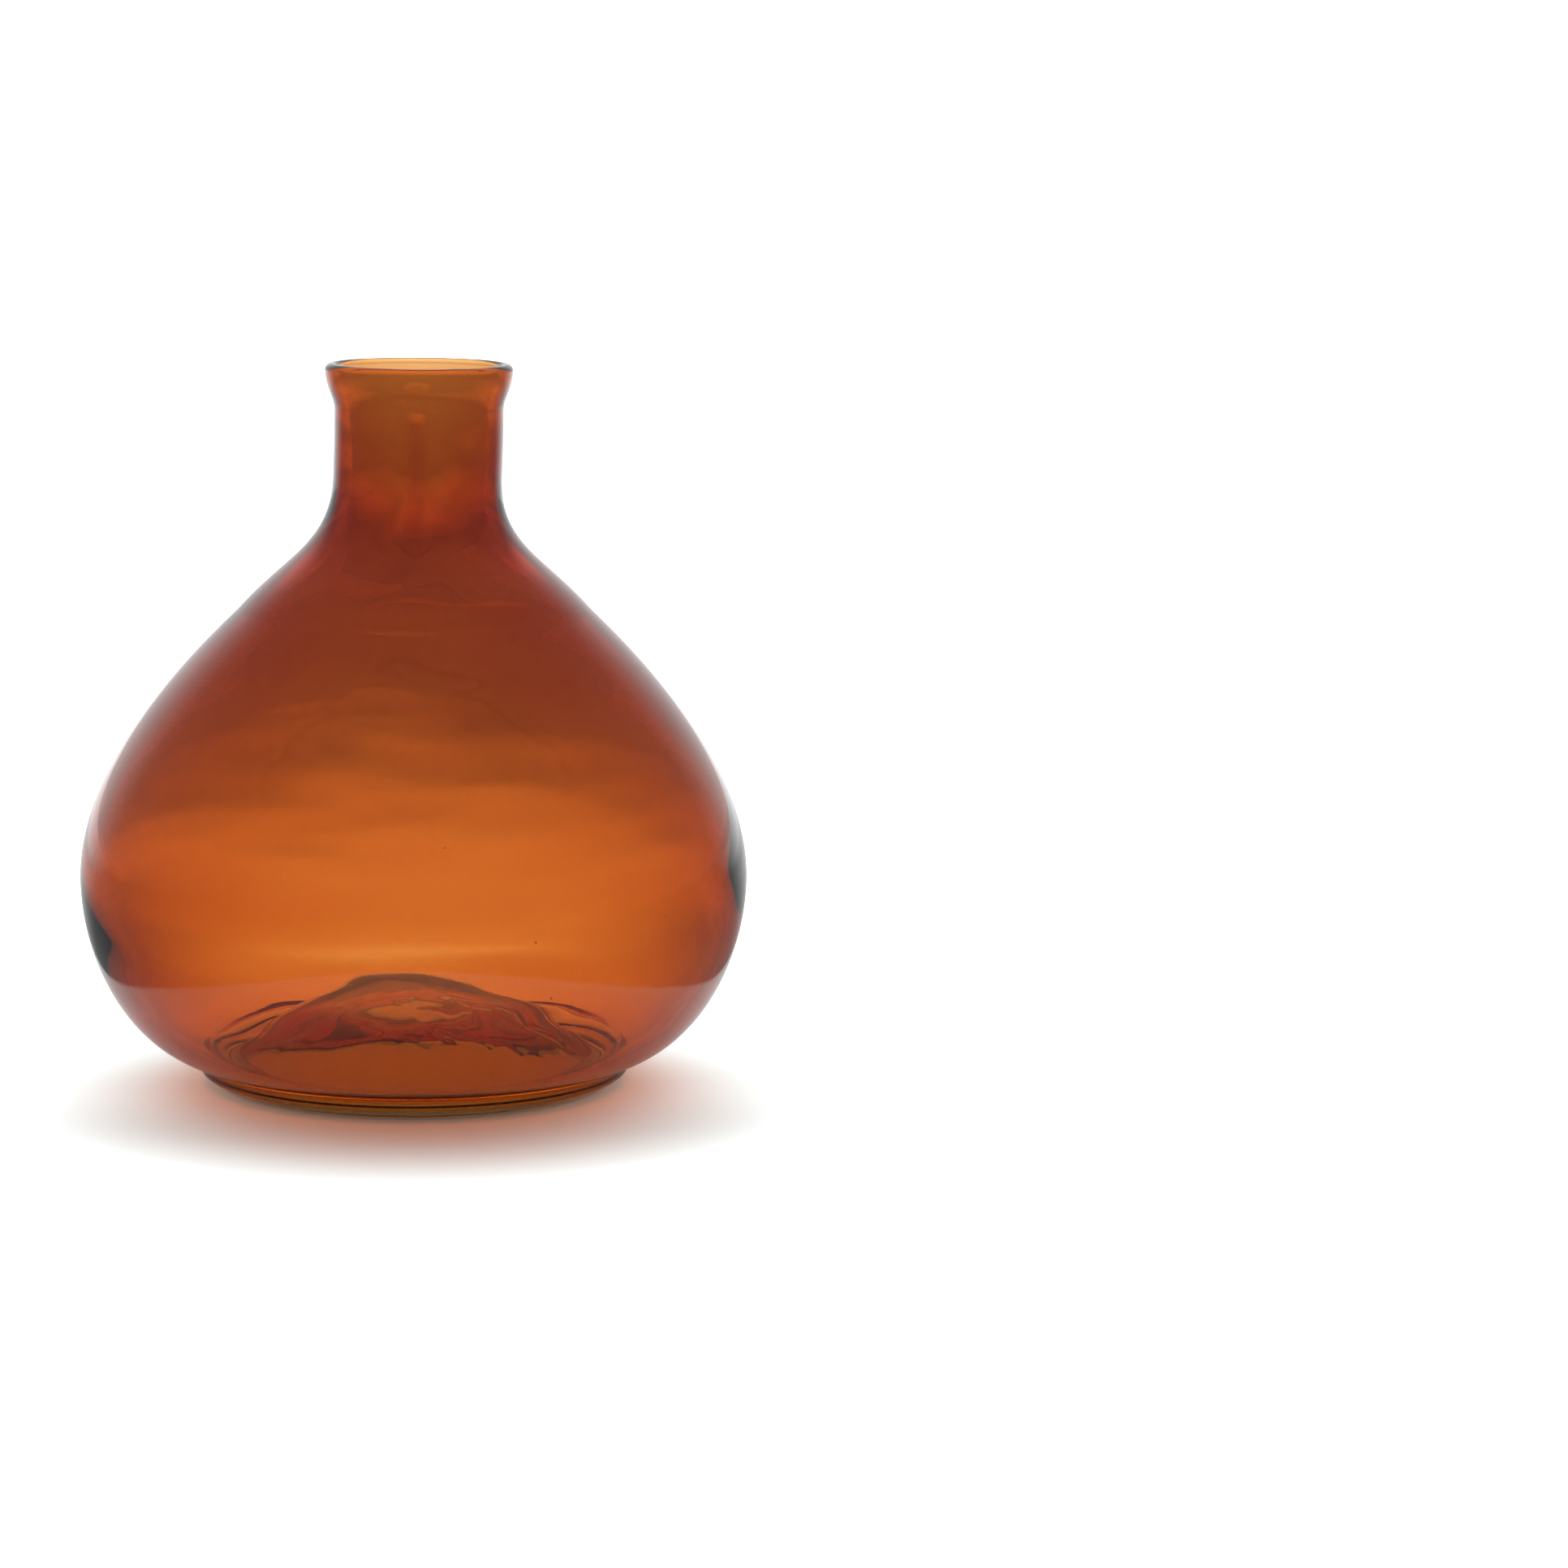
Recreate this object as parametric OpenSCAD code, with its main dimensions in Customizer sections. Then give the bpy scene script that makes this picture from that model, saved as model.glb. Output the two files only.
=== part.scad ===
// Glass bud vase: a free-blown vessel with a pushed-up base, standing on a foot ring.
// Millimetres, +Z up. The origin is the centre of the ring that the vase stands on.
// Both pieces are turned about the Z axis from outlines given as [radius, height].

/* [Foot] */
// Radius of the outer edge of the ring that touches the table
rest_r = 29.7; // [29:0.1:30.5]
// Width of the ring that touches the table
rest_width = 2.4; // [1.5:0.1:3]
// Outside radius of the foot at its top edge, where the vessel comes out of it
heel_r = 35; // [34.5:0.1:35.5]
// Height of the foot's top edge
heel_z = 2.9; // [2.6:0.1:3.2]
// Radius of the foot's inside edge, where the pushed-up base starts
foot_inner_r = 28; // [27.6:0.1:28.4]
// Height of the foot's inside edge
foot_inner_z = 1.5; // [1.3:0.1:1.7]

/* [Body] */
// Radius of the crease above the foot, before it is rounded
crease_r = 34.8; // [34.5:0.1:35]
// Height of the crease
crease_z = 3.8; // [3.6:0.1:4.2]
// Greatest outside radius of the vessel
belly_r = 54; // [52:0.5:56]
// Height of the widest line
belly_z = 34; // [32:0.5:36]
// Length of the upright curve handle above the widest line
belly_rise = 20.5; // [18:0.5:22]
// Length of the upright curve handle below the widest line
belly_drop = 12; // [10:0.5:13]
// Slope of the vessel as it leaves the crease, in degrees from level
heel_slope = 17.5; // [16:0.5:20]
// Length of the curve handle that leaves the crease
heel_reach = 13.6; // [12:0.2:15]

/* [Shoulder] */
// Outside radius of the vessel in the middle of its slope
shoulder_r = 28.3; // [27.5:0.1:29]
// Height of the middle of the slope
shoulder_z = 77.4; // [76:0.2:79]
// Slope of the shoulder, in degrees from level
shoulder_slope = 48; // [45:0.5:51]

/* [Neck and lip] */
// Outside radius of the neck
neck_r = 13.6; // [13.2:0.1:14]
// Height at which the outside of the neck becomes straight
neck_z = 98.8; // [98:0.1:100]
// Height at which the outside of the neck starts to flare
flare_z = 109.5; // [108.5:0.1:110]
// Outside radius of the lip
lip_r = 15.1; // [14.8:0.1:15.5]
// Height of the vase
vase_h = 116.8; // [116.2:0.1:118]

/* [Glass] */
// Thickness of the glass at the widest line
belly_wall = 2.4; // [1.8:0.1:2.6]
// Thickness of the glass in the middle of the shoulder
shoulder_wall = 3; // [2.4:0.1:3.2]
// Thickness of the glass in the neck
neck_wall = 2.6; // [2.4:0.1:3.2]
// Thickness of the glass just above the foot
heel_wall = 1.9; // [1.6:0.1:2.3]
// Thickness of the glass at the lip
lip_wall = 2.1; // [1.8:0.1:2.6]
// Height of the base's top in the middle, inside the vase
dome_z = 14.6; // [13.5:0.1:15]
// Height of the base's underside in the middle
kick_z = 12.3; // [11.5:0.1:12.6]
// Radius of the lowest line inside the vase
valley_r = 31.2; // [30.8:0.1:31.4]
// Height of the lowest line inside the vase
valley_z = 2; // [1.9:0.1:2.6]

/* [Hidden] */
// Height of the rounded rim, and how far its crest lies inside the lip
rim_h = 1.1;
rim_crest = 1.2;

// Lengths of the curve handles along the shoulder, the neck and the flare
shoulder_in = 3;
shoulder_out = 11.7;
neck_reach = 11;
flare_start = 1.6;
flare_end = 2.5;

// The inside follows the outside, a little lower at the neck
bore_r = neck_r - neck_wall;
bore_z = neck_z - 1.8;
bore_top = flare_z;
mouth_end = 1.7;
bore_end = 2.2;
inner_rise = belly_rise - 1;
inner_drop = 11;
inner_reach = 12.6;

// Curve handles of the pushed-up base: above and below its middle, and above and below its edge
dome_flat = 20;
kick_flat = 18.5;
dome_rim = 0.8;
kick_rim = 0.8;

// Curve handles of the inside where it dips into the foot
dip_start = 0.6;
dip_end = 0.8;

// How far the rounding of the crease reaches along the vessel
fillet = 1.9;

// Foot: the point that its rounded side bends round, and the radius of its inside edge
foot_bend = [heel_r + 0.2, 1.2];
foot_rest_inner_r = rest_r - rest_width;

// The point that the vessel's bottom bends round where it lies in the foot
seat_bend = [31, -0.6];

lip_z = vase_h - rim_h;
crest_r = lip_r - rim_crest;
mouth_r = lip_r - lip_wall;

// Along the shoulder, and square to it
along = [-cos(shoulder_slope), sin(shoulder_slope)];
outward = [sin(shoulder_slope), cos(shoulder_slope)];

// Up along the vessel as it leaves the crease, and square to it into the glass
heel_way = [cos(heel_slope), sin(heel_slope)];
heel_inward = [-sin(heel_slope), cos(heel_slope)];

// The places that the outlines pass through
heel = [heel_r, heel_z];
crease = [crease_r, crease_z];
crease_end = crease + fillet * heel_way;
belly = [belly_r, belly_z];
shoulder = [shoulder_r, shoulder_z];
neck_low = [neck_r, neck_z];
neck_high = [neck_r, flare_z];
lip = [lip_r, lip_z];
mouth = [mouth_r, lip_z];
bore_high = [bore_r, bore_top];
bore_low = [bore_r, bore_z];
inner_shoulder = shoulder - shoulder_wall * outward;
inner_belly = [belly_r - belly_wall, belly_z];
inner_heel = crease + heel_wall * heel_inward;
valley = [valley_r, valley_z];
dome = [0, dome_z];
kick = [0, kick_z];
kick_edge = [foot_inner_r, foot_inner_z];

$fn = 144;

up = [0, 1];
out = [1, 0];

// A cubic curve from a to d with handles at b and c, without its last point
function cubic(a, b, c, d, steps) = [
    for (i = [0 : steps - 1])
        let (t = i / steps, s = 1 - t)
            s * s * s * a + 3 * s * s * t * b + 3 * s * t * t * c + t * t * t * d
];

// A quadratic curve from a to c that bends round b, without its last point
function bend(a, b, c, steps) = [
    for (i = [0 : steps - 1])
        let (t = i / steps, s = 1 - t)
            s * s * a + 2 * s * t * b + t * t * c
];

// The rounded rim, from the outside over its crest to the inside
function rim() = [
    for (angle = [0 : 15 : 165])
        let (half_width = angle < 90 ? rim_crest : lip_wall - rim_crest)
            [crest_r + half_width * cos(angle), lip_z + rim_h * sin(angle)]
];

function outside() = concat(
    bend(heel, crease, crease_end, 6),
    cubic(crease_end, crease + heel_reach * heel_way, belly - belly_drop * up, belly, 16),
    cubic(belly, belly + belly_rise * up, shoulder - shoulder_in * along, shoulder, 18),
    cubic(shoulder, shoulder + shoulder_out * along, neck_low - neck_reach * up, neck_low, 14),
    [neck_low],
    cubic(neck_high, neck_high + flare_start * up, lip - flare_end * up, lip, 8)
);

function inside() = concat(
    cubic(mouth, mouth - mouth_end * up, bore_high + bore_end * up, bore_high, 8),
    [bore_high],
    cubic(bore_low, bore_low - neck_reach * up,
          inner_shoulder + shoulder_out * along, inner_shoulder, 14),
    cubic(inner_shoulder, inner_shoulder - shoulder_in * along,
          inner_belly + inner_rise * up, inner_belly, 18),
    cubic(inner_belly, inner_belly - inner_drop * up,
          inner_heel + inner_reach * heel_way, inner_heel, 16),
    cubic(inner_heel, inner_heel - dip_start * heel_way, valley + dip_end * out, valley, 6),
    cubic(valley, valley - dome_rim * out, dome + dome_flat * out, dome, 12),
    [dome]
);

function underside() = cubic(kick, kick + kick_flat * out, kick_edge - kick_rim * out, kick_edge, 12);

// Where the vessel lies in the foot, from the foot's inside edge to the heel
function seat() = bend(kick_edge, seat_bend, heel, 10);

// Vessel: one bubble of glass, with its pushed-up base, neck and flared lip
module vessel() {
    color([0.72, 0.33, 0.1, 0.75])
        rotate_extrude()
            polygon(concat(underside(), seat(), outside(), rim(), inside()));
}

// Foot ring: the thin band of glass round the vessel's bottom, hollowed to it and flat where it rests
module foot_ring() {
    color([0.5, 0.18, 0.06, 0.75])
        rotate_extrude()
            polygon(concat([[foot_rest_inner_r, 0]], bend([rest_r, 0], foot_bend, heel, 10),
                           bend(heel, seat_bend, kick_edge, 10), [kick_edge]));
}

vessel();
foot_ring();
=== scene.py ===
"""Looks for the glass bud vase: a blown amber glass vessel on its foot ring, on a white studio floor."""

import math

import bmesh
import bpy
import numpy as np
from mathutils import Matrix, Vector, noise


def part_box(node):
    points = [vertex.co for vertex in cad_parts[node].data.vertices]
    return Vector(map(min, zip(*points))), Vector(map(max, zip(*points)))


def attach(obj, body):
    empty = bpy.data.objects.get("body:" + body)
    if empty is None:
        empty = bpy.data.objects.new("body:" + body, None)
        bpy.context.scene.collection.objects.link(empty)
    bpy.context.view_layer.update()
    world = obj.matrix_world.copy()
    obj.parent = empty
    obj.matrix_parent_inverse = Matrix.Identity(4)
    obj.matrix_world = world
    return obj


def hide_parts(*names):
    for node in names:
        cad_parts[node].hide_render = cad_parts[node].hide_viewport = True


MM = 0.001

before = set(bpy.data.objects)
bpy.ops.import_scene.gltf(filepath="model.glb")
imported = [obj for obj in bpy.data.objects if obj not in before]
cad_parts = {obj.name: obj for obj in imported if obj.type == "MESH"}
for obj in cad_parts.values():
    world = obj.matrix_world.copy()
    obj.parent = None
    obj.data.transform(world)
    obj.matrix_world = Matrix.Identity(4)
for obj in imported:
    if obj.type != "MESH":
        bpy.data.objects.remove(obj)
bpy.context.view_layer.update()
vessel_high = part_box("vessel")[1]

# ---------------------------------------------------------------- outlines, in millimetres

# Sizes that the frame gives
VASE_H = vessel_high.z / MM
BELLY_R = vessel_high.x / MM

# The same curves as the CAD model's
REST_R, REST_WIDTH = 29.7, 2.4
FOOT_INNER_R, FOOT_INNER_Z = 28.0, 1.5
HEEL_R, HEEL_Z = 35.0, 2.9
CREASE_R, CREASE_Z, FILLET = 34.8, 3.8, 1.9
BELLY_Z, BELLY_RISE, BELLY_DROP = 34.0, 20.5, 12.0
HEEL_SLOPE, HEEL_REACH = math.radians(17.5), 13.6
SHOULDER_R, SHOULDER_Z, SHOULDER_SLOPE = 28.3, 77.4, math.radians(48)
SHOULDER_IN, SHOULDER_OUT = 3.0, 11.7
NECK_R, NECK_Z, NECK_REACH = 13.6, 98.8, 11.0
FLARE_Z, FLARE_START, FLARE_END = 109.5, 1.6, 2.5
LIP_R, RIM_H, RIM_CREST = 15.1, 1.1, 1.2
HEEL_WALL, BELLY_WALL, SHOULDER_WALL, NECK_WALL, LIP_WALL = 1.9, 2.4, 3.0, 2.6, 2.1
DOME_Z, KICK_Z = 14.6, 12.3
VALLEY_R, VALLEY_Z = 31.2, 2.0

# Lengths of the curve handles of the inside, down from the mouth, and of the underside
MOUTH_END, BORE_END = 1.7, 2.2
BORE_Z = NECK_Z - 1.8
INNER_RISE, INNER_DROP, INNER_REACH = BELLY_RISE - 1, 11.0, 12.6
DIP_START, DIP_END = 0.6, 0.8
DOME_RIM, DOME_FLAT = 0.8, 20.0
KICK_RIM, KICK_FLAT = 0.8, 18.5

# Along and square to the shoulder, and the same where the vessel leaves its foot
UP, OUT = np.array([0.0, 1.0]), np.array([1.0, 0.0])
ALONG = np.array([-math.cos(SHOULDER_SLOPE), math.sin(SHOULDER_SLOPE)])
OUTWARD = np.array([math.sin(SHOULDER_SLOPE), math.cos(SHOULDER_SLOPE)])
HEEL_WAY = np.array([math.cos(HEEL_SLOPE), math.sin(HEEL_SLOPE)])
HEEL_INWARD = np.array([-math.sin(HEEL_SLOPE), math.cos(HEEL_SLOPE)])


def point(r, z):
    return np.array([r, z], float)


def cubic(a, b, c, d, steps):
    """A cubic curve from a to d with handles at b and c, without its last point."""
    t = np.arange(steps)[:, None] / steps
    s = 1 - t
    return s**3 * a + 3 * s**2 * t * b + 3 * s * t**2 * c + t**3 * d


def bend(a, b, c, steps):
    """A quadratic curve from a to c that bends round b, without its last point."""
    t = np.arange(steps)[:, None] / steps
    s = 1 - t
    return s**2 * a + 2 * s * t * b + t**2 * c


def straight(a, b, steps):
    t = np.arange(steps)[:, None] / steps
    return (1 - t) * a + t * b


LIP_Z = VASE_H - RIM_H
HEEL, CREASE = point(HEEL_R, HEEL_Z), point(CREASE_R, CREASE_Z)
BELLY, SHOULDER = point(BELLY_R, BELLY_Z), point(SHOULDER_R, SHOULDER_Z)
NECK_LOW, NECK_HIGH, LIP = point(NECK_R, NECK_Z), point(NECK_R, FLARE_Z), point(LIP_R, LIP_Z)
MOUTH = point(LIP_R - LIP_WALL, LIP_Z)
BORE_HIGH, BORE_LOW = NECK_HIGH - NECK_WALL * OUT, point(NECK_R - NECK_WALL, BORE_Z)
INNER_SHOULDER = SHOULDER - SHOULDER_WALL * OUTWARD
INNER_BELLY = BELLY - BELLY_WALL * OUT
INNER_HEEL = CREASE + HEEL_WALL * HEEL_INWARD
VALLEY, DOME = point(VALLEY_R, VALLEY_Z), point(0, DOME_Z)
KICK, KICK_EDGE = point(0, KICK_Z), point(FOOT_INNER_R, FOOT_INNER_Z)
SEAT_BEND, FOOT_BEND = point(31.0, -0.6), point(HEEL_R + 0.2, 1.2)
REST_INNER, REST_OUTER = point(REST_R - REST_WIDTH, 0), point(REST_R, 0)


def outside():
    """From the heel up to the lip."""
    return np.vstack([
        bend(HEEL, CREASE, CREASE + FILLET * HEEL_WAY, 12),
        cubic(CREASE + FILLET * HEEL_WAY, CREASE + HEEL_REACH * HEEL_WAY, BELLY - BELLY_DROP * UP, BELLY, 36),
        cubic(BELLY, BELLY + BELLY_RISE * UP, SHOULDER - SHOULDER_IN * ALONG, SHOULDER, 48),
        cubic(SHOULDER, SHOULDER + SHOULDER_OUT * ALONG, NECK_LOW - NECK_REACH * UP, NECK_LOW, 28),
        straight(NECK_LOW, NECK_HIGH, 8),
        cubic(NECK_HIGH, NECK_HIGH + FLARE_START * UP, LIP - FLARE_END * UP, LIP, 14),
    ])


def rim(steps=16):
    """The rounded rim, from the outside over its crest to the inside."""
    angles = np.linspace(0, math.pi, steps, endpoint=False)
    half = np.where(angles < math.pi / 2, RIM_CREST, LIP_WALL - RIM_CREST)
    return np.stack([LIP_R - RIM_CREST + half * np.cos(angles), LIP_Z + RIM_H * np.sin(angles)], 1)


def inside():
    """From the mouth down to the middle of the pushed-up base."""
    return np.vstack([
        cubic(MOUTH, MOUTH - MOUTH_END * UP, BORE_HIGH + BORE_END * UP, BORE_HIGH, 14),
        straight(BORE_HIGH, BORE_LOW, 16),
        cubic(BORE_LOW, BORE_LOW - NECK_REACH * UP,
              INNER_SHOULDER + SHOULDER_OUT * ALONG, INNER_SHOULDER, 28),
        cubic(INNER_SHOULDER, INNER_SHOULDER - SHOULDER_IN * ALONG,
              INNER_BELLY + INNER_RISE * UP, INNER_BELLY, 60),
        cubic(INNER_BELLY, INNER_BELLY - INNER_DROP * UP,
              INNER_HEEL + INNER_REACH * HEEL_WAY, INNER_HEEL, 40),
        cubic(INNER_HEEL, INNER_HEEL - DIP_START * HEEL_WAY, VALLEY + DIP_END * OUT, VALLEY, 16),
        cubic(VALLEY, VALLEY - DOME_RIM * OUT, DOME + DOME_FLAT * OUT, DOME, 90),
        [DOME],
    ])


def underside():
    """From the middle of the recess under the vase to the heel, where the vessel lies in the foot."""
    return np.vstack([
        cubic(KICK, KICK + KICK_FLAT * OUT, KICK_EDGE - KICK_RIM * OUT, KICK_EDGE, 36),
        bend(KICK_EDGE, SEAT_BEND, HEEL, 18),
    ])


# ---------------------------------------------------------------- the hand-made unevenness

SEGMENTS = 320

# How far the neck leans, and pairs of heights between which each change comes in or goes out
LEAN, LEAN_HEIGHTS = 0.62, (84, 109)
NECK_STARTS, NECK_THINS, LIP_THINS, LIP_ENDS = (80, 92), (92, 109), (103, 112), (113, 115.6)
SEAM_STARTS, SEAM_ENDS, LIP_PATCH_STARTS, LIP_PATCH_ENDS = (86, 93), (108, 110), (110.5, 112), (113.5, 115)
STREAKS_START, STREAKS_END = (8, 22), (106, 112)

# Soft swellings and thin places: (angle round the vase, height, reach in height, reach round, thickness)
SWELLINGS = (
    (180, 22, 7.5, 30, 0.5),
    (0, 35, 7, 22, 0.5),
    (90, 12, 3.2, 45, -0.75),
    (-90, 31.5, 3.5, 45, -0.35),
)

# How much thicker the neck is low down, and how much thinner it is near its top and the lip is
NECK_THICKER, NECK_TOP_THINNER, LIP_THINNER = 0.55, 0.05, 0.2

# The angle of the seam, towards the camera, and its ridges in neck and lip: (reach round in degrees, height)
SEAM_TURN, SEAM, LIP_PATCH = -91.5, (7.5, 0.5), (10, 0.2)

# Each ripple is (size along each axis, shift into the noise)
BROAD_STREAKS, FINE_STREAKS = ((0.75, 0.75, 11.0), 3.7), ((0.4, 0.4, 4.5), 11.3)
BROAD_WAVES, FINE_WAVES = ((9.0, 7.0, 50.0), 5.1), ((3.5, 2.6, 50.0), 8.2)
CREASE_PATH, CREASE_WANDER = ((10.0, 8.0, 50.0), 21.4), ((2.6, 2.0, 50.0), 2.9)

# How deep the streaks are at the sides, and how much deeper in front and behind
BROAD_DEPTH, BROAD_FACING, FINE_DEPTH, FINE_FACING = 0.1, 0.16, 0.04, 0.08

# The base's top: its waves' depths, how much its creases wander, their size and side, and where it all fades
WAVE_DEPTH, FINE_WAVE_DEPTH, WANDER = 0.12, 0.02, 0.4
CREASE_DEPTH, CREASE_WIDTH, CREASE_SIDE = 0.1, 0.11, (-6, 6)
BASE_FADE = (24, 29)

# What makes it flatter: a raised ring and a lowered middle, each (radius, width, height)
BASE_RING, BASE_MIDDLE = (17, 6, 0.5), (0, 10, -0.6)


def smooth(value, low, high):
    """From 0 at low to 1 at high, level at both ends."""
    t = np.clip((value - low) / (high - low), 0, 1)
    return t * t * (3 - 2 * t)


def hump(value, middle, width):
    """1 at middle, falling off smoothly over width on both sides."""
    return np.exp(-((value - middle) / width)**2)


def ripple(places, scale, seed):
    """Smooth noise, about -1 to 1, at places [x, y, z] stretched by scale."""
    shifted = places / scale + seed
    return np.array([noise.noise(Vector(place)) for place in shifted])


def lean(verts):
    """The neck stands a little to the right of the foot."""
    verts[:, 0] += LEAN * smooth(verts[:, 2], *LEAN_HEIGHTS)
    return verts


def streaks(verts):
    """How much thicker the wall is: long streaks round the vase, short in height, weaker at the sides."""
    radius = np.hypot(verts[:, 0], verts[:, 1]) + 1e-9
    around = np.stack([verts[:, 0] / radius, verts[:, 1] / radius, verts[:, 2]], 1)
    facing = (verts[:, 1] / radius)**2
    broad = (BROAD_DEPTH + BROAD_FACING * facing) * ripple(around, *BROAD_STREAKS)
    fine = (FINE_DEPTH + FINE_FACING * facing) * ripple(around, *FINE_STREAKS)
    ends = smooth(verts[:, 2], *STREAKS_START) * (1 - smooth(verts[:, 2], *STREAKS_END))
    return (broad + fine) * ends


def wall_changes(verts):
    """Where the wall is thicker or thinner than the outlines, apart from the streaks."""
    z = verts[:, 2]
    angle = np.degrees(np.arctan2(verts[:, 1], verts[:, 0]))
    neck = smooth(z, *NECK_STARTS) * (NECK_THICKER * (1 - smooth(z, *NECK_THINS)) - NECK_TOP_THINNER)
    lip = LIP_THINNER * smooth(z, *LIP_THINS) * (1 - smooth(z, *LIP_ENDS))
    change = neck - lip
    for side, height, reach, reach_round, thickness in SWELLINGS:
        turn = (angle - side + 180) % 360 - 180
        change += thickness * hump(turn, 0, reach_round) * hump(z, height, reach)
    return change


def neck_seam(verts):
    """A faint upright ridge down the front of the neck, and a small one in the lip."""
    z = verts[:, 2]
    turn = np.degrees(np.arctan2(verts[:, 1], verts[:, 0])) - SEAM_TURN
    ridge = smooth(z, *SEAM_STARTS) * (1 - smooth(z, *SEAM_ENDS))
    patch = smooth(z, *LIP_PATCH_STARTS) * (1 - smooth(z, *LIP_PATCH_ENDS))
    return SEAM[1] * hump(turn, 0, SEAM[0]) * ridge + LIP_PATCH[1] * hump(turn, 0, LIP_PATCH[0]) * patch


def base_folds(verts):
    """The pushed-up base's top is flatter than its outline, with waves and narrow wandering creases."""
    radius = np.hypot(verts[:, 0], verts[:, 1])
    waves = WAVE_DEPTH * ripple(verts, *BROAD_WAVES) + FINE_WAVE_DEPTH * ripple(verts, *FINE_WAVES)
    path = ripple(verts, *CREASE_PATH) + WANDER * ripple(verts, *CREASE_WANDER)
    crease = CREASE_DEPTH * hump(path, 0, CREASE_WIDTH) * smooth(verts[:, 0], *CREASE_SIDE)
    flatter = sum(height * hump(radius, middle, width) for middle, width, height in (BASE_RING, BASE_MIDDLE))
    return (1 - smooth(radius, *BASE_FADE)) * (waves - crease + flatter)


# ---------------------------------------------------------------- meshes


def revolve(outline, uneven=None):
    """Points and faces of the closed surface that outline [radius, height] makes about Z.

    uneven(points, ring, way) may move the points; way is the direction square to the surface."""
    angles = np.linspace(0, 2 * math.pi, SEGMENTS, endpoint=False)
    turns = np.stack([np.cos(angles), np.sin(angles)], 1)
    ahead = np.roll(outline, -1, 0) - np.roll(outline, 1, 0)
    square = np.stack([ahead[:, 1], -ahead[:, 0]], 1) / np.linalg.norm(ahead, axis=1)[:, None]
    points, ways, ring_of, rings = [], [], [], []
    count = 0
    for number, ((r, z), (across, up)) in enumerate(zip(outline, square)):
        middle = r < 1e-6
        these = turns[:1] * 0 if middle else turns
        points.append(np.column_stack([r * these, np.full(len(these), z)]))
        ways.append(np.column_stack([across * these, np.full(len(these), up)]))
        ring_of.append(np.full(len(these), number))
        rings.append(range(count, count + len(these)))
        count += len(these)
    points, ways, ring_of = np.vstack(points), np.vstack(ways), np.concatenate(ring_of)
    if uneven is not None:
        points = uneven(points, ring_of, ways)
    faces = []
    for one, two in zip(rings, rings[1:] + rings[:1]):
        if len(one) == 1 and len(two) == 1:
            continue
        for i in range(SEGMENTS):
            j = (i + 1) % SEGMENTS
            if len(one) == 1:
                faces.append((one[0], two[j], two[i]))
            elif len(two) == 1:
                faces.append((one[i], one[j], two[0]))
            else:
                faces.append((one[i], one[j], two[j], two[i]))
    return points, faces


# Seeds: how many, their heights, how deep in the wall they lie, their radii and how tall they are for them
SEEDS, SEED_HEIGHTS, SEED_DEPTHS = 40, (9, 100), (0.35, 0.65)
SEED_RADII, SEED_STRETCH = (0.06, 0.17), (0.8, 1.5)


def seeds(outer, inner):
    """Tiny bubbles inside the wall: small balls turned inside out."""
    chance = np.random.default_rng(7)
    bubble = bmesh.new()
    bmesh.ops.create_icosphere(bubble, subdivisions=2, radius=1)
    ball = np.array([v.co[:] for v in bubble.verts])
    corners = [[v.index for v in face.verts][::-1] for face in bubble.faces]
    bubble.free()
    points, faces = [], []
    for number in range(SEEDS):
        z, turn = chance.uniform(*SEED_HEIGHTS), chance.uniform(0, 2 * math.pi)
        share = chance.uniform(*SEED_DEPTHS)
        r = share * np.interp(z, *outer.T[::-1]) + (1 - share) * np.interp(z, *inner.T[::-1])
        size = chance.uniform(*SEED_RADII)
        centre = np.array([r * math.cos(turn), r * math.sin(turn), z])
        points.append(centre + size * ball * (1, 1, chance.uniform(*SEED_STRETCH)))
        faces += [[number * len(ball) + v for v in face] for face in corners]
    return np.vstack(points), faces


def make_piece(name, points, faces):
    """A smooth-shaded object in the scene, from points in millimetres."""
    mesh = bpy.data.meshes.new(name)
    mesh.from_pydata((points * MM).tolist(), [], faces)
    mesh.polygons.foreach_set("use_smooth", [True] * len(mesh.polygons))
    mesh.update()
    piece = bpy.data.objects.new(name, mesh)
    bpy.context.scene.collection.objects.link(piece)
    return piece


# ---------------------------------------------------------------- materials


def amber_glass():
    """Clear glass whose amber colour deepens with the thickness that the light crosses."""
    material = bpy.data.materials.new("amber_glass")
    material.use_nodes = True
    nodes, links = material.node_tree.nodes, material.node_tree.links
    shader, output = nodes["Principled BSDF"], nodes["Material Output"]
    shader.inputs["Base Color"].default_value = (1, 1, 1, 1)
    shader.inputs["Transmission Weight"].default_value = 1
    shader.inputs["Roughness"].default_value = 0.0
    shader.inputs["IOR"].default_value = 1.5
    absorb = nodes.new("ShaderNodeVolumeAbsorption")
    absorb.inputs["Color"].default_value = (0.85, 0.575, 0.14, 1)
    absorb.inputs["Density"].default_value = 1200
    links.new(absorb.outputs["Volume"], output.inputs["Volume"])
    return material


# ---------------------------------------------------------------- the vase

glass = amber_glass()

BELOW, OUTER, INNER = underside(), np.vstack([outside(), rim()]), inside()
FIRST_INNER = len(BELOW) + len(OUTER)

# The pushed-up base's top is what lies inside, below this height and within this radius
BASE_HEIGHT, BASE_RADIUS = 16.0, 31.0


def uneven_vessel(points, ring, way):
    """The vessel's points with the unevenness, which is all on the inside apart from the neck's lean."""
    inner = ring >= FIRST_INNER
    radius = np.hypot(points[:, 0], points[:, 1])
    base = inner & (points[:, 2] < BASE_HEIGHT) & (radius < BASE_RADIUS)
    thicker = streaks(points) + neck_seam(points) + wall_changes(points) * ~base
    points = points + way * (inner * thicker)[:, None]
    points[:, 2] += base_folds(points) * base
    return lean(points)


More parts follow.
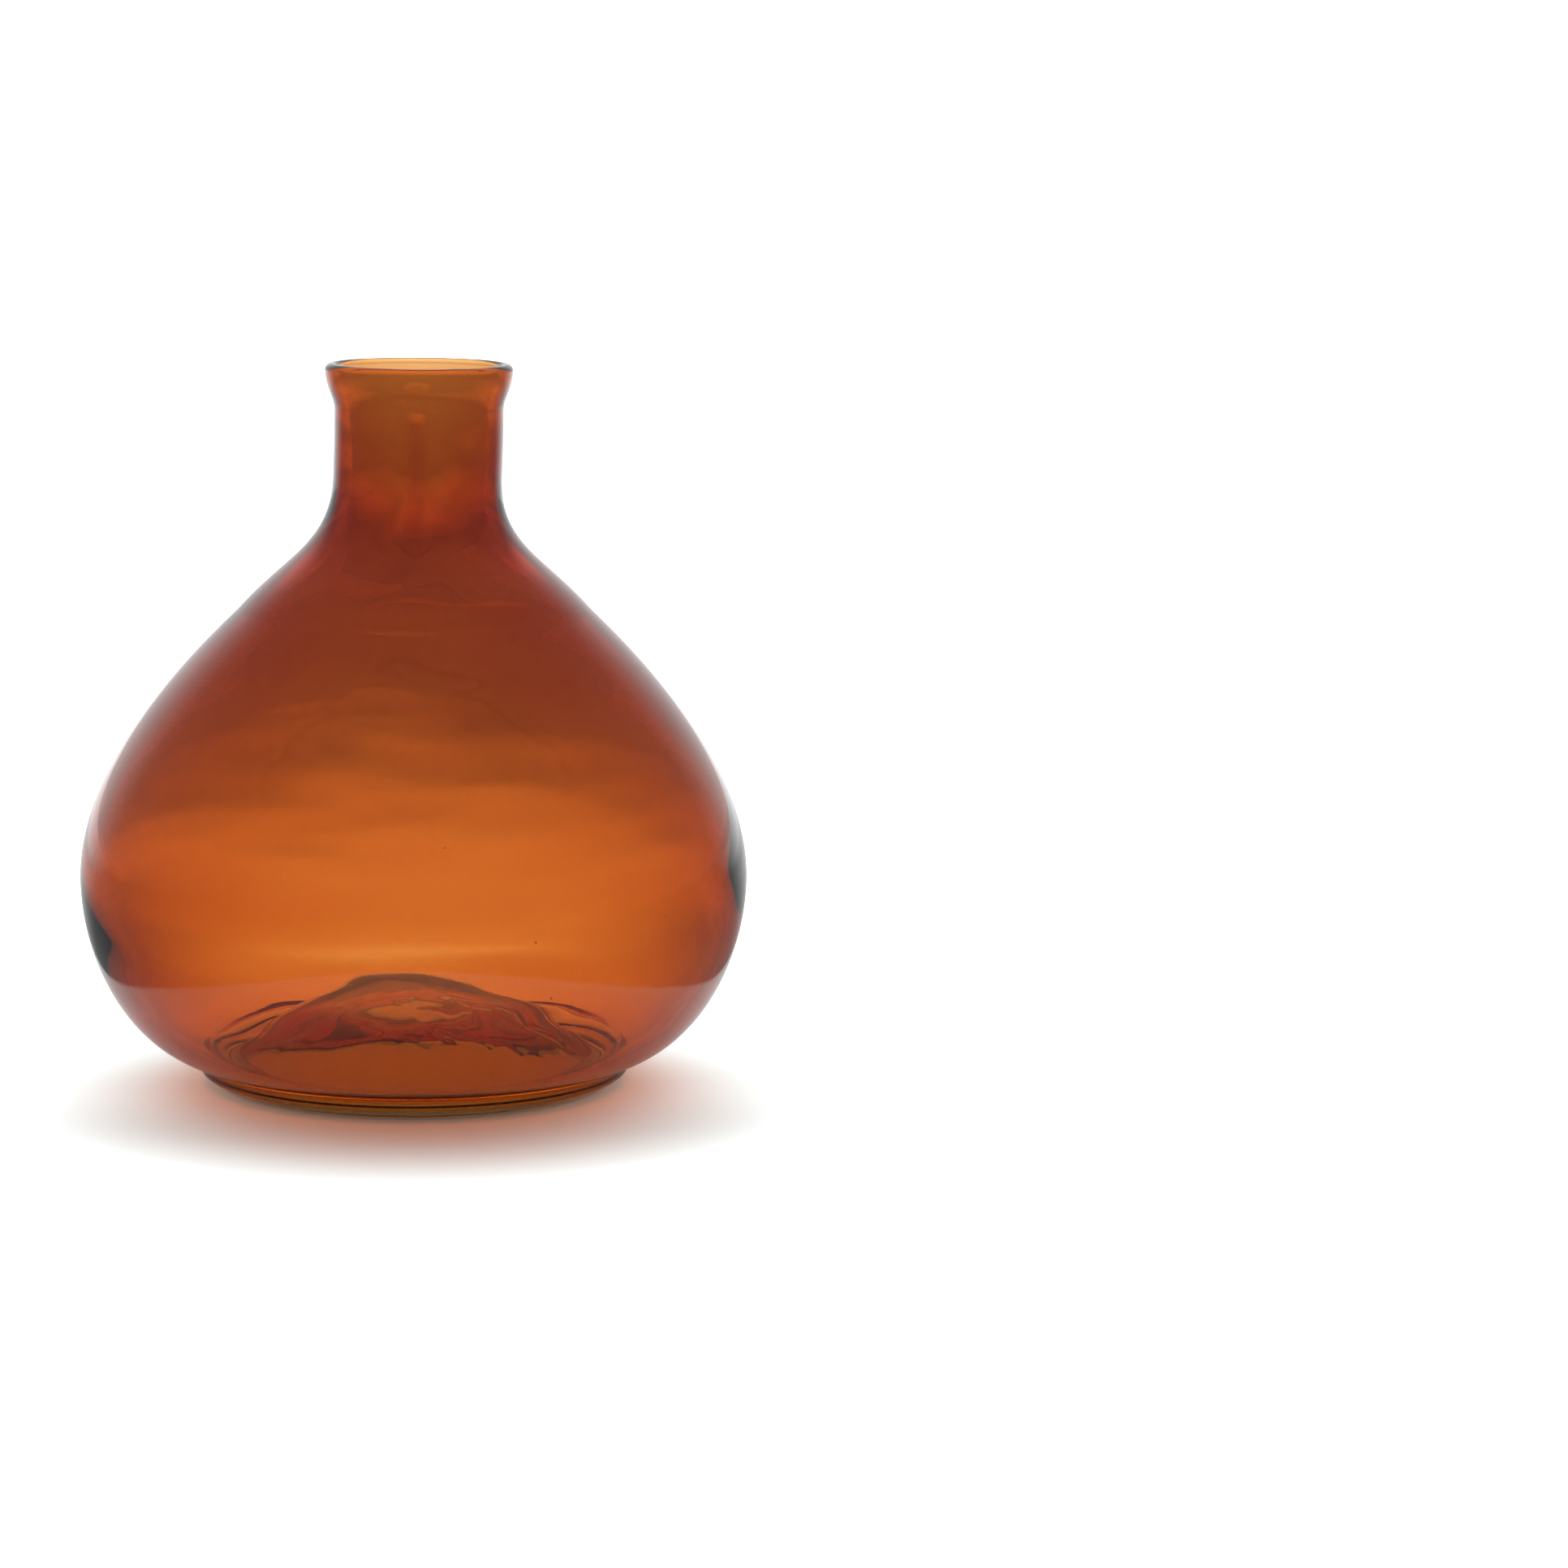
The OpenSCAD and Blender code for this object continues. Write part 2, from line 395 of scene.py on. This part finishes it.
vessel_points, vessel_faces = revolve(np.vstack([BELOW, OUTER, INNER]), uneven_vessel)
wall_inside = INNER[np.argmax(INNER[:, 1]):np.argmin(INNER[:, 1])][::-1]
seed_points, seed_faces = seeds(outside(), wall_inside)
seed_faces = [[v + len(vessel_points) for v in face] for face in seed_faces]
vessel = make_piece("vessel_glass", np.vstack([vessel_points, seed_points]), vessel_faces + seed_faces)
vessel.data.materials.append(glass)
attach(vessel, "root")
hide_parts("vessel")

# The foot reaches a hair into the vessel, so that no air is left between them
WELD = 0.03 * UP
foot_points, foot_faces = revolve(np.vstack([
    straight(KICK_EDGE + WELD, REST_INNER, 8),
    straight(REST_INNER, REST_OUTER, 6),
    bend(REST_OUTER, FOOT_BEND, HEEL + WELD, 24),
    bend(HEEL + WELD, SEAT_BEND + WELD, KICK_EDGE + WELD, 18),
]))
foot = make_piece("foot_ring_glass", foot_points, foot_faces)
foot.data.materials.append(glass)
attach(foot, "root")
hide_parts("foot_ring")

# ---------------------------------------------------------------- stage


class Graph:
    """Short words for making the nodes of a stage material or of the world."""

    def __init__(self, tree):
        self.tree = tree

    def add(self, kind, **sockets):
        node = self.tree.nodes.new("ShaderNode" + kind)
        for name, value in sockets.items():
            self.put(node.inputs[name.replace("_", " ")], value)
        return node

    def put(self, socket, value):
        if isinstance(value, bpy.types.NodeSocket):
            self.tree.links.new(value, socket)
        else:
            socket.default_value = value

    def math(self, operation, *values):
        node = self.add("Math")
        node.operation = operation
        for socket, value in zip(node.inputs, values):
            self.put(socket, value)
        return node.outputs[0]

    def mix(self, share, one, two):
        """one where share is 0 and two where it is 1."""
        node = self.add("Mix")
        for socket, value in zip(node.inputs[:1] + node.inputs[2:4], (share, one, two)):
            self.put(socket, value)
        return node.outputs[0]

    def times(self, one, two):
        return self.math("MULTIPLY", one, two)

    def plus(self, one, two):
        return self.math("ADD", one, two)

    def mirror_ray(self, rays):
        """1 for a ray that a surface has just mirrored, 0 for one that has come through the glass."""
        return self.times(rays["Is Glossy Ray"], self.math("SUBTRACT", 1.0, rays["Is Transmission Ray"]))

    def ramp(self, value, low, high, at_low, at_high):
        """A smooth step of value from at_low to at_high between low and high."""
        node = self.add("MapRange")
        node.interpolation_type = "SMOOTHSTEP"
        for socket, number in zip(node.inputs, (value, low, high, at_low, at_high)):
            self.put(socket, number)
        return node.outputs[0]


# Four numbers together are (from, to, value before, value after), with distances from the vase in metres

# The paper: its brightness, which painted shade lowers further off, and the painted light that only the
# camera sees on it
PAPER = (0.17, 0.53, 0.92, 0.5)
WHITENING = (0.05, 0.14, 0.0, 0.8)
# The shade in front of the vase, for the camera, and where the front ends
FRONT_SHADE, FRONT = (0.03, 0.09, 0.7, 0.95), (-0.045, -0.01, 1.0, 0.0)
# Through the glass: painted shade makes the near paper dimmer at the sides, and under the vase it has a
# painted glow, with little red
ASIDE, NEAR = (0.03, 0.08, 1.0, 0.6), (0.12, 0.22)
GLOW_UNDER, GLOW_RED = (0.025, 0.05, 0.6, 0.0), 0.45
# The paper's share of red, cut as painted shade to tint the vase's shadow: to the camera the same everywhere,
# and to all other rays less under the vase
SHADOW_RED_UNDER, CAMERA_SHADOW_RED = (0.025, 0.045, 0.75, 1.0), 0.86
# In the vase's mirrored picture: the paper's edge, and the ground beyond it, a painted glow that is palest
# straight behind
PAPER_EDGE = (0.96, 1.04, 0.0, 1.0)
MIRRORED_FAR, MIRRORED_FARTHER = (0.08, 0.3, 0.4, 0.72), (0.35, 0.55, 1.0, 1.7)
MIRRORED_BACK = (0.55, 1.0, 0.0, 1.0)

# Where the far ground begins, the painted shade that darkens it to rays that have crossed both walls, and the
# painted light that brightens it to the other rays
FAR_GROUND, FAR_SHADE, FAR_LIGHT_ONCE = (0.5, 0.7), 0.78, 1.5
# How far the paper's straight sides and its rounded front lie from the vase's middle
PAPER_HALF_WIDTH, PAPER_FRONT = 0.073, 0.103
# The painted shade on the paper, and the painted glow of the ground beyond it, in what the vase mirrors
MIRRORED_PAPER, DIM_GROUND = 0.5, 0.22


def seen_paper(graph, rays, mirror, x, y, distance):
    """Bright paper round the vase that painted shade makes dimmer further off, with painted light and glow
    for some rays, which the camera alone sees as white.
    """
    camera_ray, through_ray = rays["Is Camera Ray"], rays["Is Transmission Ray"]
    once = graph.math("LESS_THAN", rays["Transmission Depth"], 2.5)
    # Painted shade or light on the far ground, by how many walls the ray has crossed
    far_light_and_shade = graph.ramp(distance, *FAR_GROUND, 1.0, graph.mix(once, FAR_SHADE, FAR_LIGHT_ONCE))
    # Painted shade: the paper darker further from the vase, times the far ground's painted shade or light
    shaded_tone = graph.times(graph.ramp(distance, *PAPER), far_light_and_shade)
    # Painted shade: the paper at half its brightness in what the vase mirrors
    shaded_tone = graph.times(shaded_tone, graph.mix(mirror, 1.0, MIRRORED_PAPER))
    # Painted shade: through the glass, the near paper dimmer at the sides
    aside = graph.ramp(graph.math("ABSOLUTE", x), *ASIDE)
    shaded_tone = graph.times(shaded_tone, graph.mix(graph.ramp(distance, *NEAR, through_ray, 0.0), 1.0, aside))
    front = graph.times(camera_ray, graph.ramp(y, *FRONT))
    shaded_tone = graph.times(shaded_tone, graph.mix(front, 1.0, graph.ramp(distance, *FRONT_SHADE)))
    # Painted shade: the paper keeps less of its red, to tint the vase's shadow
    red = graph.times(shaded_tone, graph.mix(camera_ray, graph.ramp(distance, *SHADOW_RED_UNDER), CAMERA_SHADOW_RED))
    colour = graph.add("CombineColor", Red=red, Green=shaded_tone, Blue=shaded_tone).outputs[0]
    # Painted light: a glow that the camera alone sees away from the vase, and one under the vase for rays
    # through the glass
    glow_red = graph.mix(camera_ray, GLOW_RED, 1.0)
    glow_colour = graph.add("CombineColor", Red=glow_red, Green=1.0, Blue=1.0).outputs[0]
    whitening = graph.times(camera_ray, graph.ramp(distance, *WHITENING))
    under = graph.times(through_ray, graph.ramp(distance, *GLOW_UNDER))
    glow = graph.add("Emission", Color=glow_colour, Strength=graph.plus(whitening, under))
    seen = graph.add("AddShader")
    graph.put(seen.inputs[0], graph.add("BsdfDiffuse", Color=colour).outputs[0])
    graph.put(seen.inputs[1], glow.outputs[0])
    return seen.outputs[0]


def off_paper(graph, x, y):
    """1 beyond the paper's edges, which are straight at the sides and rounded in front."""
    across = graph.math("DIVIDE", x, PAPER_HALF_WIDTH)
    ahead = graph.math("DIVIDE", graph.math("MINIMUM", y, 0.0), PAPER_FRONT)
    return graph.ramp(graph.plus(graph.times(across, across), graph.times(ahead, ahead)), *PAPER_EDGE)


def mirrored_ground(graph, y, distance):
    """The ground that the vase mirrors beyond the paper: a painted glow, dim, and paler far behind."""
    backward = graph.math("MAXIMUM", graph.math("DIVIDE", y, distance), 0.0)
    pale = graph.times(graph.ramp(distance, *MIRRORED_FAR), graph.ramp(backward, *MIRRORED_BACK))
    pale = graph.times(pale, graph.ramp(distance, *MIRRORED_FARTHER))
    return graph.add("Emission", Strength=graph.plus(pale, DIM_GROUND)).outputs[0]


def white_floor():
    """What the floor shows, with a painted glow beyond the paper's edges in what the vase mirrors."""
    material = bpy.data.materials.new("white_floor")
    material.use_nodes = True
    material.node_tree.nodes.clear()
    graph = Graph(material.node_tree)
    place = graph.add("SeparateXYZ", Vector=graph.add("TexCoord").outputs["Object"]).outputs
    x, y = place["X"], place["Y"]
    distance = graph.math("SQRT", graph.plus(graph.times(x, x), graph.times(y, y)))
    rays = graph.add("LightPath").outputs
    mirror = graph.mirror_ray(rays)
    whole = graph.add("MixShader", Fac=graph.times(mirror, off_paper(graph, x, y)))
    graph.put(whole.inputs[1], seen_paper(graph, rays, mirror, x, y, distance))
    graph.put(whole.inputs[2], mirrored_ground(graph, y, distance))
    graph.put(graph.add("OutputMaterial").inputs["Surface"], whole.outputs[0])
    return material


bpy.ops.mesh.primitive_plane_add(size=8)
floor = bpy.context.object
floor.name = "floor"
floor.data.materials.append(white_floor())

# The room's light on the floor: from everywhere, and more from this direction
LIGHT_WAY, LIGHT, LIGHT_ALL_ROUND = Vector((0, 0.866, 0.5)), 5.1, 0.51
# Through the glass: the room's tone by how far back it lies, and a brighter patch behind, above the horizon
THROUGH, PATCH = (0.75, 0.98, 1.1, 0.78), 2.0
PATCH_HEIGHT, PATCH_ACROSS, PATCH_BACK = (0.12, 0.3, 0.0, 1.0), (0.15, 0.45, 1.0, 0.0), (0.3, 0.6, 0.0, 1.0)
# What the vase mirrors of the room, by how far back it lies, and the white that the camera sees
MIRRORED_ROOM, CAMERA_WHITE = (0.55, 1.0, 0.26, 0.95), 1.1


def studio_world():
    """Soft light from above and behind; a dim front in what the vase mirrors; white to the camera."""
    world = bpy.data.worlds.new("studio")
    world.use_nodes = True
    world.node_tree.nodes.clear()
    graph = Graph(world.node_tree)
    way = graph.add("SeparateXYZ", Vector=graph.add("TexCoord").outputs["Generated"]).outputs
    across, back, height = graph.math("ABSOLUTE", way["X"]), way["Y"], way["Z"]
    rays = graph.add("LightPath").outputs
    towards = graph.math("MULTIPLY_ADD", height, LIGHT_WAY.z, graph.times(back, LIGHT_WAY.y))
    towards = graph.math("POWER", graph.math("MAXIMUM", towards, 0.0), 2.0)
    light = graph.math("MULTIPLY_ADD", towards, LIGHT, LIGHT_ALL_ROUND)
    patch = graph.times(graph.ramp(height, *PATCH_HEIGHT), graph.ramp(across, *PATCH_ACROSS))
    patch = graph.times(patch, graph.ramp(back, *PATCH_BACK))
    through = graph.math("MULTIPLY_ADD", patch, PATCH, graph.ramp(back, *THROUGH))
    lighting = graph.math("GREATER_THAN", rays["Diffuse Depth"], 0.5)
    strength = graph.mix(lighting, through, light)
    strength = graph.mix(graph.mirror_ray(rays), strength, graph.ramp(back, *MIRRORED_ROOM))
    strength = graph.mix(rays["Is Camera Ray"], strength, CAMERA_WHITE)
    background = graph.add("Background", Color=(1, 1, 1, 1), Strength=strength)
    graph.put(graph.add("OutputWorld").inputs["Surface"], background.outputs[0])
    return world


bpy.context.scene.world = studio_world()

bpy.context.scene.view_settings.view_transform = "Standard"
paths = bpy.context.scene.cycles
paths.blur_glossy = 0
paths.max_bounces = 24
paths.glossy_bounces = 16
paths.transmission_bounces = 24

# ---------------------------------------------------------------- camera

CAMERA_DISTANCE, CAMERA_HEIGHT = 0.7657, 0.16756
CAMERA_DOWN, CAMERA_ASIDE = math.radians(8.832), math.radians(4.431)

camera = bpy.data.objects.new("camera", bpy.data.cameras.new("camera"))
bpy.context.scene.collection.objects.link(camera)
camera.data.sensor_width = 36
camera.data.lens = 109.25
camera.matrix_world = (
    Matrix.Translation((0, -CAMERA_DISTANCE, CAMERA_HEIGHT))
    @ Matrix.Rotation(math.pi / 2 - CAMERA_DOWN, 4, "X")
    @ Matrix.Rotation(-CAMERA_ASIDE, 4, "Y")
)
bpy.context.scene.camera = camera
